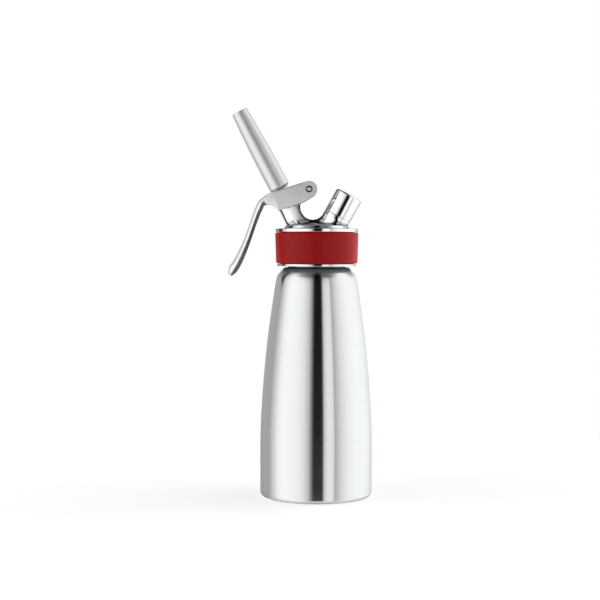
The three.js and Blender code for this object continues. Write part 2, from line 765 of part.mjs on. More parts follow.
function chargerGroup() {
  const group = new THREE.Group();
  group.position.set(seamX, 0, seamZ);
  group.rotation.y = chargerTilt;
  const pocket = studReach - studPocketDepth + clearance;
  const sealHole = pinShank + 2 * clearance;
  const sealOuter = studPocketRadius - clearance;
  const discLow = -studRootDepth - clearance / 2 - discThickness;
  const discTop = discLow + discThickness - clearance;
  group.add(
    piece('charger_stud', studShape(), 'satin'),
    piece('piercing_pin', pinShape(), 'satin'),
    piece('pin_holder', holderShape(), 'brass'),
    piece('charger_seal', sleeve(sealHole, sealOuter, pocket, pocket + sealThickness, smallSteps), 'rubber'),
    piece('check_valve_disc', rod(studRadius, discLow, discTop, smallSteps), 'rubber'),
    piece('charger_cap', capShape(), 'polished'),
  );
  return group;
}

function leverGroup() {
  const group = new THREE.Group();
  group.position.copy(pivot);
  const pin = rod(pinRadius, -yokeHalfWidth, yokeHalfWidth, smallSteps).rotateX(Math.PI / 2);
  group.add(
    piece('lever', leverShape(), 'satin'),
    piece('lever_bush_front', bushShape(1), 'rubber'),
    piece('lever_bush_back', bushShape(-1), 'rubber'),
    piece('lever_pin', pin, 'polished'),
  );
  return group;
}

const dispenser = new THREE.Group();
dispenser.add(
  piece('bottle', bottleShape(), 'brushed'),
  piece('head_gasket', gasketShape(), 'gasket'),
  piece('head', headShape(), 'polished'),
  piece('grip_band', bandShape(), 'band'),
  leverGroup(),
  valveGroup(),
  chargerGroup(),
);

export default dispenser;
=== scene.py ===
import json
import math
import bmesh
import bpy
from mathutils import Matrix, Vector


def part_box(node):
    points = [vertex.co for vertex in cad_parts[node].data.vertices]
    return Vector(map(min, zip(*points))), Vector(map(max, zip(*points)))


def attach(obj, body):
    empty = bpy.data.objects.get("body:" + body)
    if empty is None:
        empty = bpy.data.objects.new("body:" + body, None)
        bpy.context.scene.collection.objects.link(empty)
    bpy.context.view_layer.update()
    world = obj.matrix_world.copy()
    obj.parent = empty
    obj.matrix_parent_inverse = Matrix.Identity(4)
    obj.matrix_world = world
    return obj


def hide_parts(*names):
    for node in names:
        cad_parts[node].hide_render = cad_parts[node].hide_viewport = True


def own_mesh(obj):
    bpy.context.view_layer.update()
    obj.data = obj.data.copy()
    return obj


# A half-litre whipped cream dispenser on a pale floor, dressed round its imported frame
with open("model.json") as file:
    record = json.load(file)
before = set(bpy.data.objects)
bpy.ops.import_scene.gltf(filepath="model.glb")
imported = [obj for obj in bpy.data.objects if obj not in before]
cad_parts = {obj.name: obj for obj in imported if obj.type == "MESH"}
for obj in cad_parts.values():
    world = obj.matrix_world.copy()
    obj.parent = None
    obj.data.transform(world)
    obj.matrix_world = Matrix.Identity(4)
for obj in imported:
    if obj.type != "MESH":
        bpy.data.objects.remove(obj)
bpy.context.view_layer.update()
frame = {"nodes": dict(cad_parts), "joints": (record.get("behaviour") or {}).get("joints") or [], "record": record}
mm = 0.001
joints = {joint["name"]: joint for joint in frame["joints"]}
ratios = {row["joint"]: row["ratio"] for row in frame["record"]["behaviour"]["couplings"]}
print("scene: frame loaded,", len(frame["nodes"]), "nodes")

# Places in millimetres: the lever's pin and its pushers as the frame gives them, and the seam under the cap
pivot = Vector(joints["lever_pivot"]["pos_m"]) / mm
valveAxis = Vector(joints["tip_lift"]["axis"])
capAxis = Vector(joints["cap_lift"]["axis"])
pivotArm = ratios["valve_stroke"] / mm
pusher = pivot - Vector((valveAxis.z, 0, -valveAxis.x)) * pivotArm
seam = Vector((15.8, 0, 215.4))

# How far cutters run to either side of the middle, and past what they cut, in mm
acrossHalf = 20
past = 2


# A frame of its own at a point, with Z along an axis that leans in the plane of X and Z
def leaning(origin, axis):
    angle = math.atan2(axis.x, axis.z)
    return Matrix.Translation(origin * mm) @ Matrix.Rotation(angle, 4, "Y")


# The places that pieces are made in. The pin's has Z towards the front
upright = Matrix.Identity(4)
valvePlace = leaning(pusher, valveAxis)
chargerPlace = leaning(seam, capAxis)
pinPlace = Matrix.Translation(pivot * mm) @ Matrix.Rotation(math.pi / 2, 4, "X")


# Rounds the corners of an outline: each corner is (across, up, radius)
def fillet(corners, closed=False, segments=5):
    points = []
    count = len(corners)
    sideShare = 0.49
    for i, (x, y, radius) in enumerate(corners):
        here = Vector((x, y))
        if radius <= 0 or (not closed and i in (0, count - 1)):
            points.append(here)
            continue
        back = Vector(corners[i - 1][:2]) - here
        ahead = Vector(corners[(i + 1) % count][:2]) - here
        half = back.angle(ahead) / 2
        reach = min(radius / math.tan(half), back.length * sideShare, ahead.length * sideShare)
        centre = here + (back.normalized() + ahead.normalized()).normalized() * reach / math.cos(half)
        start = here + back.normalized() * reach - centre
        end = here + ahead.normalized() * reach - centre
        turn = math.atan2(start.x * end.y - start.y * end.x, start.dot(end))
        for k in range(segments + 1):
            angle = turn * k / segments
            c, s = math.cos(angle), math.sin(angle)
            points.append(centre + Vector((start.x * c - start.y * s, start.x * s + start.y * c)))
    return points


# A point of a smooth curve between b and c, with a and d as the points on either side
def between(a, b, c, d, t):
    return (b * 2 + (c - a) * t + (a * 2 - b * 5 + c * 4 - d) * t ** 2
            + (b * 3 - a - c * 3 + d) * t ** 3) / 2


# A smooth curve through points of any size
def smoothThrough(points, steps):
    points = [Vector(p) for p in points]
    ends = [points[0] * 2 - points[1]] + points + [points[-1] * 2 - points[-2]]
    curve = []
    for near in zip(ends, ends[1:], ends[2:], ends[3:]):
        curve += [between(*near, k / steps) for k in range(steps)]
    return curve + [points[-1]]


# Spins an outline of (radius, height) about Z; a closed one makes a ring
def turned(outline, place=upright, steps=96, closed=False):
    bm = bmesh.new()
    verts = [bm.verts.new((p[0] * mm, 0, p[1] * mm)) for p in outline]
    edges = [bm.edges.new(pair) for pair in zip(verts, verts[1:])]
    if closed:
        edges.append(bm.edges.new((verts[-1], verts[0])))
    bmesh.ops.spin(bm, geom=verts + edges, axis=(0, 0, 1), cent=(0, 0, 0), dvec=(0, 0, 0),
                   angle=2 * math.pi, steps=steps, use_merge=True, use_duplicate=False)
    bmesh.ops.remove_doubles(bm, verts=bm.verts, dist=0.001 * mm)
    bmesh.ops.recalc_face_normals(bm, faces=bm.faces)
    bm.transform(place)
    return bm


# Spins an outline that is given by its corners
def lathe(corners, place=upright, steps=96, closed=False, segments=5):
    return turned(fillet(corners, closed, segments), place, steps, closed)


# A screw thread's rib: a small outline spun up its helix, with its foot sunk a little into the root
def threadRib(rootRadius, depth, pitch, low, turns, place=upright, stepsPerTurn=48):
    foot, crest, sunk = pitch * 0.34, pitch * 0.1, 0.05
    corners = [(rootRadius - sunk, -foot), (rootRadius + depth, -crest),
               (rootRadius + depth, crest), (rootRadius - sunk, foot)]
    bm = bmesh.new()
    verts = [bm.verts.new((r * mm, 0, (low + z) * mm)) for r, z in corners]
    edges = [bm.edges.new((verts[k - 1], verts[k])) for k in range(4)]
    bmesh.ops.spin(
        bm, geom=verts + edges, axis=(0, 0, 1), cent=(0, 0, 0), dvec=(0, 0, pitch * mm / stepsPerTurn),
        angle=2 * math.pi * turns, steps=int(turns * stepsPerTurn), use_merge=False, use_duplicate=False)
    bmesh.ops.holes_fill(bm, edges=[e for e in bm.edges if e.is_boundary], sides=4)
    bmesh.ops.recalc_face_normals(bm, faces=bm.faces)
    bm.transform(place)
    return bm


def rodMesh(radius, low, high, place=upright, steps=48):
    return turned([(0, low), (radius, low), (radius, high), (0, high)], place, steps)


# A rod across the dispenser, along Y
def crossRod(radius, centre, low, high, steps=48):
    place = Matrix.Translation(Vector(centre) * mm) @ Matrix.Rotation(-math.pi / 2, 4, "X")
    return rodMesh(radius, low, high, place, steps)


# A box of a size round a centre, both in mm, set into a place
def boxMesh(size, centre, place):
    bm = bmesh.new()
    bmesh.ops.create_cube(bm, size=1)
    bmesh.ops.scale(bm, verts=bm.verts, vec=Vector(size) * mm)
    bmesh.ops.translate(bm, verts=bm.verts, vec=[c * mm for c in centre])
    bm.transform(place)
    return bm


def lerp(a, b, t):
    return a + (b - a) * t


def meshObject(bm, name):
    mesh = bpy.data.meshes.new(name)
    bm.to_mesh(mesh)
    bm.free()
    obj = bpy.data.objects.new(name, mesh)
    bpy.context.scene.collection.objects.link(obj)
    return obj


# Joins or cuts an object with one bmesh after another, and applies each change
def carve(obj, tools, operation="DIFFERENCE"):
    for tool in tools:
        other = meshObject(tool, obj.name + "_tool")
        modifier = obj.modifiers.new("carve", "BOOLEAN")
        modifier.operation = operation
        modifier.solver = "MANIFOLD"
        modifier.object = other
        bpy.context.view_layer.objects.active = obj
        bpy.ops.object.modifier_apply(modifier=modifier.name)
        bpy.data.objects.remove(other)
    return obj


# Gives a piece its material, smooth shading and body, and hides the parts that it stands for; a piece that has
# materials already keeps them
def dress(obj, material, body, stands=(), sharp=32):
    if not any(obj.data.materials):
        obj.data.materials.clear()
        obj.data.materials.append(material)
    for face in obj.data.polygons:
        face.use_smooth = True
    obj.data.set_sharp_from_angle(angle=math.radians(sharp))
    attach(obj, body)
    if stands:
        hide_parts(*stands)
    return obj


# A bmesh made into a piece and dressed
def piece(bm, name, material, body, stands=(), sharp=32):
    return dress(meshObject(bm, name), material, body, stands, sharp)


# sRGB hex to linear red, green, blue and alpha
def linear(hexColour):
    channels = [int(hexColour[k:k + 2], 16) / 255 for k in (1, 3, 5)]
    return [c / 12.92 if c <= 0.04045 else ((c + 0.055) / 1.055) ** 2.4 for c in channels] + [1]


# Adds a node, sets its options, and fills its inputs with values or with links from sockets
def addNode(tree, kind, options=None, inputs=None):
    node = tree.nodes.new(kind)
    for key, value in (options or {}).items():
        setattr(node, key, value)
    for key, value in (inputs or {}).items():
        if isinstance(value, bpy.types.NodeSocket):
            tree.links.new(value, node.inputs[key])
        else:
            node.inputs[key].default_value = value
    return node


def mixColours(tree, factor, first, second, blend="MIX"):
    options = {"data_type": "RGBA", "blend_type": blend}
    return addNode(tree, "ShaderNodeMix", options, {0: factor, 6: first, 7: second}).outputs[2]


def mapRange(tree, value, source, target=(0, 1)):
    return addNode(tree, "ShaderNodeMapRange", {}, {
        "Value": value, "From Min": source[0], "From Max": source[1],
        "To Min": target[0], "To Max": target[1]}).outputs["Result"]


def calculate(tree, operation, *values):
    return addNode(tree, "ShaderNodeMath", {"operation": operation}, dict(enumerate(values))).outputs[0]


# Repeats per metre of a pattern whose spacing in mm is the same along all three axes
def even(spacing):
    return (1 / (spacing * mm),) * 3


# A material whose grain varies tone, roughness and height together. The repeats are per metre along each axis
# after the turn, and the height is in mm
def grained(name, values, repeats, tones, roughness, height, turn=(0, 0, 0), detail=4):
    material = bpy.data.materials.new(name)
    material.use_nodes = True
    tree = material.node_tree
    shader = tree.nodes["Principled BSDF"]
    for key, value in values.items():
        shader.inputs[key].default_value = value
    coords = addNode(tree, "ShaderNodeTexCoord")
    leant = addNode(tree, "ShaderNodeMapping", {}, {"Vector": coords.outputs["Object"], "Rotation": turn})
    scaled = addNode(tree, "ShaderNodeMapping", {}, {"Vector": leant.outputs["Vector"], "Scale": repeats})
    noise = addNode(tree, "ShaderNodeTexNoise", {}, {
        "Vector": scaled.outputs["Vector"], "Scale": 1, "Detail": detail})
    factor = noise.outputs["Fac"]
    tree.links.new(mixColours(tree, factor, linear(tones[0]), linear(tones[1])), shader.inputs["Base Color"])
    tree.links.new(mapRange(tree, factor, (0, 1), roughness), shader.inputs["Roughness"])
    if height:
        bump = addNode(tree, "ShaderNodeBump", {}, {"Height": factor, "Distance": height * mm, "Strength": 1})
        tree.links.new(bump.outputs["Normal"], shader.inputs["Normal"])
    return material


# Spacings in mm, but the repeats along a brushed line, bodyRun and tipRun, are per metre. The lever's steel
# is painted darker near the pin, as shade: fully within the nearer of the two pin distances, and not at all from
# the farther on
grainLook = {
    "bodyLine": 0.35, "bodyRun": 6, "tipLine": 0.3, "tipRun": 18, "cast": 0.45, "wave": 14, "silicone": 0.5,
    "turned": 0.4, "rubber": 1 / 1.8, "acetal": 1 / 1.5, "brass": 1 / 2.2, "pinShadeNear": 1, "pinShadeFar": 21,
}


# Stainless steel brushed round the body: fine lines that run round, so lights smear up and down, and edges
# that are a little darker
def brushedBottleSteel():
    run = grainLook["bodyRun"]
    material = grained(
        "brushedStainlessSteel", {
            "Metallic": 1, "Anisotropic": 0.93, "Anisotropic Rotation": 0.25,
            "Specular Tint": linear("#d6d8d8")},
        (run, run, 1 / (grainLook["bodyLine"] * mm)),
        tones=("#cacccc", "#d4d6d6"), roughness=(0.155, 0.195), height=0.0003)
    tree = material.node_tree
    tangent = addNode(tree, "ShaderNodeTangent", {"direction_type": "RADIAL", "axis": "Z"})
    tree.links.new(tangent.outputs["Tangent"], tree.nodes["Principled BSDF"].inputs["Tangent"])
    return material


# Cast stainless steel, glass-bead blasted: soft grey with a fine grain, and painted shade that makes it
# greyer towards the pin
def satinCastSteel():
    material = grained(
        "beadBlastedSteel", {"Metallic": 1, "Specular Tint": linear("#d4d6d7")}, even(grainLook["cast"]),
        tones=("#eef0f0", "#f4f5f5"), roughness=(0.48, 0.54), height=0.0006)
    tree = material.node_tree
    colour = tree.nodes["Principled BSDF"].inputs["Base Color"]
    unshadedTone = colour.links[0].from_socket
    # Painted shade: the base colour is multiplied darker towards the pin
    coords = addNode(tree, "ShaderNodeTexCoord")
    reach = addNode(tree, "ShaderNodeVectorMath", {"operation": "DISTANCE"}, {
        0: coords.outputs["Object"], 1: tuple(pivot * mm)})
    span = (grainLook["pinShadeNear"] * mm, grainLook["pinShadeFar"] * mm)
    pinShade = mapRange(tree, reach.outputs["Value"], span, (1, 0))
    tree.links.new(mixColours(tree, pinShade, unshadedTone, linear("#e0e2e3"), "MULTIPLY"), colour)
    return material


bottleSteel = brushedBottleSteel()

# Cast stainless steel, mirror polished: clear reflections with a faint unevenness from the hand polishing,
# and darker where the surface turns away from the eye
mirrorSteel = grained(
    "mirrorPolishedSteel", {"Metallic": 1, "Specular Tint": linear("#909294")}, even(grainLook["wave"]),
    tones=("#dfe1e3", "#e9eaeb"), roughness=(0.035, 0.07), height=0.004, detail=2)

leverSteel = satinCastSteel()

# The same cast steel, rougher, and darker as painted shade, in the lever's hollow and along its inner flanks, and
# under and inside the head
shadeCastSteel = grained(
    "asCastSteelPaintedShade", {"Metallic": 1}, even(grainLook["cast"]),
    tones=("#6c6e71", "#76787b"), roughness=(0.5, 0.58), height=0.001)

# Drawn stainless tube, brushed along its length: long fine lines and a soft stripe of light
tipSteel = grained(
    "longBrushedSteel", {"Metallic": 1}, (*even(grainLook["tipLine"])[:2], grainLook["tipRun"]),
    tones=("#d1d3d3", "#d6d8d8"), roughness=(0.42, 0.46), height=0,
    turn=(0, -math.atan2(valveAxis.x, valveAxis.z), 0))

# Turned and ground steel of the small pieces: bright, with a fine faint grain
smallSteel = grained(
    "turnedSteel", {"Metallic": 1}, even(grainLook["turned"]),
    tones=("#b4b7b9", "#cbcdce"), roughness=(0.14, 0.22), height=0.0004)

# Moulded silicone rubber: deep red, satin, with a fine moulded grain and a red sheen at its edges
bandSilicone = grained(
    "redSiliconeRubber",
    {"Sheen Weight": 1, "Sheen Roughness": 0.6, "Sheen Tint": linear("#ff1818"), "Specular IOR Level": 0.17},
    even(grainLook["silicone"]), tones=("#8d0a0d", "#970d10"), roughness=(0.36, 0.44), height=0.002)

# Moulded rubber of the seals: near black, matt
rubber = grained(
    "nitrileRubber", {"Specular IOR Level": 0.4}, even(grainLook["rubber"]),
    tones=("#1b1c1e", "#26272a"), roughness=(0.5, 0.65), height=0.004)

# Acetal plastic of the bushes: black with a soft gloss
plastic = grained(
    "blackAcetal", {}, even(grainLook["acetal"]),
    tones=("#131416", "#1d1e20"), roughness=(0.3, 0.42), height=0.002)

# Turned brass of the pin's holder: warm yellow metal
brass = grained(
    "turnedBrass", {"Metallic": 1}, even(grainLook["brass"]),
    tones=("#b58d45", "#c9a35c"), roughness=(0.22, 0.34), height=0.002)
print("scene: materials made")


def boxOf(node):
    low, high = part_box(node)
    return low / mm, high / mm


# Bottle: a flat base, a long tapering side, a tight shoulder and a threaded neck
bottleLook = {
    "wall": 1.5, "corner": 3.5, "neckHeight": 17.8, "neckRadius": 22.2, "neckWall": 2.6, "lip": 0.6,
    "shoulderTop": 24.4, "threadDepth": 0.6, "threadPitch": 4, "threadTurns": 2.5, "threadStart": 4,
    "sideShares": [(0.06, 1), (0.23, 1.001), (0.33, 0.991), (0.45, 0.963), (0.58, 0.92), (0.72, 0.859),
                   (0.86, 0.779), (0.925, 0.739), (0.953, 0.716), (0.966, 0.695), (0.975, 0.671),
                   (0.984, 0.64), (0.993, 0.606)],
    "gasketInset": 0.6,
}


def makeBottle():
    look = bottleLook
    top = boxOf("bottle")[1]
    radius, neckTop, wall = top.x, top.z, look["wall"]
    height = neckTop - look["neckHeight"]
    neck, shoulder = look["neckRadius"], look["shoulderTop"]
    bore = neck - look["neckWall"]
    side = [(radius * r, height * h) for h, r in look["sideShares"]]
    curve = smoothThrough(side + [(shoulder, height)], 6)
    outline = fillet([
        (0, 0, 0), (radius, 0, look["corner"]), (radius, curve[0].y, 0)], segments=10)[:-1] + curve
    outline += fillet([
        (shoulder, height, 0), (neck, height, 0.3), (neck, neckTop, look["lip"]), (bore, neckTop, 0.4),
        (bore, height - wall, 0)])[1:]
    outline += [p - Vector((wall, 0)) for p in reversed(curve) if p.x - wall > bore]
    outline += fillet([
        (radius - wall, curve[0].y, 0), (radius - wall, wall, look["corner"] - wall), (0, wall, 0)])[1:]
    piece(turned(outline, steps=144), "bottle_shell", bottleSteel, "bottle", ["bottle"])
    rib = threadRib(neck, look["threadDepth"], look["threadPitch"], height + look["threadStart"],
                    look["threadTurns"])
    piece(rib, "neck_thread", bottleSteel, "bottle")
    low, high = boxOf("head_gasket")
    inside = bore - look["gasketInset"]
    outer = high.x
    ring = lathe([
        (inside, low.z, 0.5), (outer, low.z, 0.5), (outer, high.z, 0.5), (inside, high.z, 0.5)], closed=True)
    piece(ring, "head_gasket_ring", bandSilicone, "gasket", ["head_gasket"])


# Head: one casting of skirt, barrel, rim, dome, leaning tower, lug blade and charger boss. Each row of the
# saddle is degrees round the arch, depth and narrowing
headLook = {
    "skirtRadius": 30.4, "skirtHeight": 1.7, "barrelRadius": 28, "barrelHeight": 24.3, "rimRadius": 31.6,
    "rimHeight": 2.6, "rimRound": 0.5, "domeRadius": 24.3, "domeStep": 2.3, "domeHeight": 5.5,
    "ledgeIn": 4, "ledgeRise": 1.2, "crownShares": [(0.6, 0.19), (0.3, 0.05), (0, 0)], "threadBore": 23.1,
    "seatZ": 196.9, "chamberRadius": 19.5, "chamberSide": 4.6, "crownWall": 4, "chamberCrown": 0.66,
    "crownDip": 1.1, "towerRadius": 5.9, "towerDrop": 2.6, "towerFoot": 21, "lugRadius": 5.4,
    "lugWidth": 13.2, "lugArc": range(152, -28, -10), "archRadius": 9.5, "archX": -3.3, "archZ": 222.1,
    "archArc": [88, *range(104, 171, 6)], "bladeTuck": 4, "bladeRound": 1.5, "saddleHalf": 7.2,
    "saddleEdge": 0.08, "saddlePoints": 20,
    "saddle": [(150, 6.2, 0.28), (160, 8.5, 0.28), (170, 12.4, 0.28), (176, 18, 0.28), (180, 17.2, 0.28),
               (190, 15.4, 0.28), (200, 14.6, 0.28), (215, 14.4, 0.32), (230, 13.5, 0.4), (250, 10, 0.45),
               (275, 8.2, 0.45), (300, 9.8, 0.4), (318, 11, 0.3), (334, 11, 0.25)],
    "bossRadius": 10.7, "bossFoot": 10.2, "bossDepth": 12, "bossWaist": -6, "bossShoulder": -3,
    "bossRound": 3, "gasFoot": 9.2, "springBore": 4.9, "springSeat": 15, "guideEnd": 27, "guideRadius": 6.2,
    "stemBore": 3.5, "grooveRadius": 4.5, "grooveAt": 19, "grooveHalf": 1, "slotHalf": 2.4, "slotEnd": 5.5,
    "studBore": 7.7, "studDepth": 9, "gasBore": 2, "pinBore": 1.8,
}


def headOutline(z):
    look = headLook
    skirt, barrel = look["skirtRadius"], look["barrelRadius"]
    rim, dome = look["rimRadius"], look["domeRadius"]
    barrelZ = z + look["skirtHeight"]
    rimZ = barrelZ + look["barrelHeight"]
    rimTop = rimZ + look["rimHeight"]
    stepTop = rimTop + look["domeStep"]
    domeTop = rimTop + look["domeHeight"]
    ledge = (dome - look["ledgeIn"], stepTop + look["ledgeRise"])
    lower = fillet([
        (0, z, 0), (skirt, z, 0.4), (skirt, barrelZ, 0.4), (barrel, barrelZ, 0.4), (barrel, rimZ, 0.3),
        (rim, rimZ, 0.4), (rim, rimTop, look["rimRound"]), (dome + 0.8, rimTop + 0.3, 0.7),
        (dome, stepTop, 1.1), (*ledge, 0)])
    crown = [(dome * reach, domeTop - look["domeHeight"] * drop) for reach, drop in look["crownShares"]]
    return lower[:-1] + smoothThrough([ledge] + crown, 8), domeTop


# The rounded metal round the arch, from the tower's outer side down over the crown and up to the boss. Each
# section is half an oval that stands on the arch, and its depths follow the tower's outer side and top
def headSaddle():
    look = headLook
    points, edge = look["saddlePoints"], look["saddleEdge"]
    rings = []
    for degrees, depth, narrowing in smoothThrough(look["saddle"], 5):
        angle = math.radians(degrees)
        out = Vector((math.cos(angle), 0, math.sin(angle)))
        arch = Vector((look["archX"], 0, look["archZ"])) + out * look["archRadius"]
        half = []
        for j in range(points):
            share = math.sin(j * math.pi / (2 * points - 2))
            taper = 1 - narrowing * (math.hypot(share, edge) - edge)
            half.append((share * depth, look["saddleHalf"] * taper * math.sqrt(1 - share ** 4)))
        row = half + [(reach, -wide) for reach, wide in reversed(half[:-1])]
        rings.append([arch + out * reach + Vector((0, wide, 0)) for reach, wide in row])
    return skin(rings)


def arcPoints(x, z, radius, arc):
    angles = [math.radians(degrees) for degrees in arc]
    return [(x + radius * math.cos(angle), z + radius * math.sin(angle)) for angle in angles]


# The blade beside the tower that carries the lug, with the top of the round arch cut out of it
def headBlade():
    look = headLook
    lug = arcPoints(pivot.x, pivot.z, look["lugRadius"], look["lugArc"])
    arch = arcPoints(look["archX"], look["archZ"], look["archRadius"], look["archArc"])
    drop = look["towerDrop"]
    top = valvePlace @ Vector((0, 0, -drop * mm)) / mm
    side = valvePlace @ Vector((look["towerRadius"] * mm, 0, -drop * mm)) / mm
    low = valvePlace @ Vector((0, 0, -(drop + look["bladeTuck"]) * mm)) / mm
    lug = [p for p in lug if p[1] > arch[0][1]]
    outline = [(top.x, top.z), (side.x, side.z)] + lug + arch + [(low.x, low.z)]
    bm = bmesh.new()
    verts = [bm.verts.new((x * mm, -look["lugWidth"] / 2 * mm, z * mm)) for x, z in outline]
    face = bm.faces.new(verts)
    grown = bmesh.ops.extrude_face_region(bm, geom=[face])["geom"]
    moved = [v for v in grown if isinstance(v, bmesh.types.BMVert)]
    bmesh.ops.translate(bm, verts=moved, vec=(0, look["lugWidth"] * mm, 0))
    bmesh.ops.recalc_face_normals(bm, faces=bm.faces)
    rims = [e for e in bm.edges if abs(e.verts[0].co.y - e.verts[1].co.y) < 1e-6]
    bmesh.ops.bevel(bm, geom=rims, affect="EDGES", offset=look["bladeRound"] * mm, segments=5, profile=0.5,
                    material=-1)
    return bm


def makeHead():
    look = headLook
    z = boxOf("head")[0].z
    outline, domeTop = headOutline(z)
    head = meshObject(turned(outline, steps=144), "head_casting")
    towerRadius, towerLow, towerTop = look["towerRadius"], -look["towerFoot"], -look["towerDrop"]
    tower = lathe([
        (0, towerLow, 0), (towerRadius, towerLow, 0), (towerRadius, towerTop, 0.4),
        (0, towerTop, 0)], valvePlace)
    bossRadius, bossFoot, bossLow = look["bossRadius"], look["bossFoot"], -look["bossDepth"]
    boss = lathe([
        (0, bossLow, 0), (bossFoot, bossLow, 0), (bossFoot, look["bossWaist"], look["bossRound"]),
        (bossRadius, look["bossShoulder"], look["bossRound"]), (bossRadius, 0, 0.25), (0, 0, 0)],
        chargerPlace)
    carve(head, [tower, headSaddle(), headBlade(), boss], "UNION")
    bore, chamber, seat = look["threadBore"], look["chamberRadius"], look["seatZ"]
    crown = domeTop - look["crownWall"]
    hollow = lathe([
        (0, z - past, 0), (bore, z - past, 0), (bore, seat, 0.3), (chamber, seat, 0.4),
        (chamber, seat + look["chamberSide"], 2),
        (chamber * look["chamberCrown"], crown - look["crownDip"], 3), (0, crown, 0)])
    carve(head, [hollow])
    guide = rodMesh(look["guideRadius"], -look["guideEnd"], -look["springSeat"], valvePlace)
    gas = rodMesh(look["gasFoot"], bossLow, bossLow / 2, chargerPlace)
    carve(head, [guide, gas], "UNION")
    groove, grooveHalf, slotEnd = look["grooveAt"], look["grooveHalf"], look["slotEnd"]
    carve(head, [
        rodMesh(look["springBore"], -look["springSeat"], past, valvePlace),
        rodMesh(look["stemBore"], -look["guideEnd"] - past, -look["springSeat"] + past, valvePlace),
        rodMesh(look["grooveRadius"], -groove - grooveHalf, -groove + grooveHalf, valvePlace),
        boxMesh((look["slotHalf"] * 2, 4 * towerRadius, slotEnd), (0, 0, -slotEnd / 2), valvePlace),
        rodMesh(look["studBore"], -look["studDepth"], past, chargerPlace),
        rodMesh(look["gasBore"], bossLow - past, 0, chargerPlace),
        crossRod(look["pinBore"], pivot, -acrossHalf, acrossHalf)])
    head.data.materials.clear()
    for material in (mirrorSteel, shadeCastSteel):
        head.data.materials.append(material)
    # The inside and the underside take the rougher cast steel, whose darker tone is painted shade
    for face in head.data.polygons:
        reach, level = math.hypot(*face.center.xy) / mm, face.center.z / mm
        inside = reach < bore + 1 and level < seat + look["crownWall"]
        face.material_index = int(inside or (face.normal.z < -0.9 and level < z + 0.1))
    dress(head, mirrorSteel, "head", ["head"], 38)


# Grip band: a soft red sleeve, a little wider at its top, with rounded ends
bandLook = {"footRadius": 31.3, "topRadius": 32.1, "footRound": 2.2, "topRound": 1.1, "bore": 28.1}


def makeBand():
    look = bandLook
    low, high = boxOf("grip_band")
    sleeve = lathe([
        (look["bore"], low.z, 0.3), (look["footRadius"], low.z, look["footRound"]),
        (look["topRadius"], high.z, look["topRound"]), (look["bore"], high.z, 0.3)],
        steps=144, closed=True, segments=8)
    piece(sleeve, "band_sleeve", bandSilicone, "head", ["grip_band"])


# Lever: a pressed steel trough, deep at the pivot, that bends down into a narrow rounded handle. Each row is
# outer x and z, inner x and z, half-width and roundness, as in the imported lever. From handleRow on, all of a
# ring but its outerPlaces takes the darker steel of painted shade
leverLook = {
    "tilt": 17.5, "yokeLength": 36.5, "above": 6.3, "below": 8.8, "halfWidth": 9.6, "cheek": 2.1, "web": 2,
    "edge": 1.6, "reach": 62.2, "drop": 66.5, "crown": 0.62, "webShare": 0.42, "sideShare": 0.28,
    "innerRound": 0.7, "taper": 1.6, "handleRow": 35, "yoke": [
        (0, 1, 0, -0.74, 1, 0), (0.22, 1, 0.22, -0.93, 1, 0), (0.49, 1, 0.49, -0.99, 1, 0),
        (0.7, 1, 0.723, -1, 1, 0), (0.755, 1, 0.767, -0.75, 1, 0.05), (0.82, 0.97, 0.822, -0.43, 0.99, 0.15),
        (0.9, 0.88, 0.885, -0.22, 0.97, 0.35), (1, 0.69, 0.948, -0.14, 0.94, 0.6)],
    "handle": [
        (0.625, 0.139, 0.556, 0.188, 0.9, 0.85), (0.651, 0.187, 0.574, 0.226, 0.86, 1),
        (0.688, 0.268, 0.605, 0.289, 0.83, 1), (0.741, 0.414, 0.656, 0.416, 0.79, 1),
        (0.804, 0.575, 0.725, 0.605, 0.79, 1), (0.876, 0.725, 0.786, 0.755, 0.83, 1),
        (0.937, 0.827, 0.844, 0.876, 0.84, 1), (0.979, 0.883, 0.884, 0.94, 0.75, 1),
        (1, 0.94, 0.918, 0.976, 0.55, 1), (0.997, 0.98, 0.953, 1, 0.25, 1)],
    "window": 9, "slotRadius": 6.2, "slotNear": 1.3, "slotFar": 1.5, "slotTop": 26, "pusher": 1.8,
    "pusherInner": 3.5, "bushHole": 2.6, "hollowShare": 0.93, "outerPlaces": range(5, 29),
}


def leverRows():
    look = leverLook
    tilt = math.radians(look["tilt"])
    along = Vector((-math.cos(tilt), -math.sin(tilt)))
    above = Vector((-math.sin(tilt), math.cos(tilt)))
    rows = []
    for out, up, inner, down, width, roundness in look["yoke"]:
        first = along * out * look["yokeLength"] + above * up * look["above"]
        second = along * inner * look["yokeLength"] + above * down * look["below"]
        rows.append((first, second, width, roundness))
    for x, z, innerX, innerZ, width, roundness in look["handle"]:
        rows.append((Vector((-x * look["reach"], -z * look["drop"])),
                     Vector((-innerX * look["reach"], -innerZ * look["drop"])), width, roundness))
    return rows


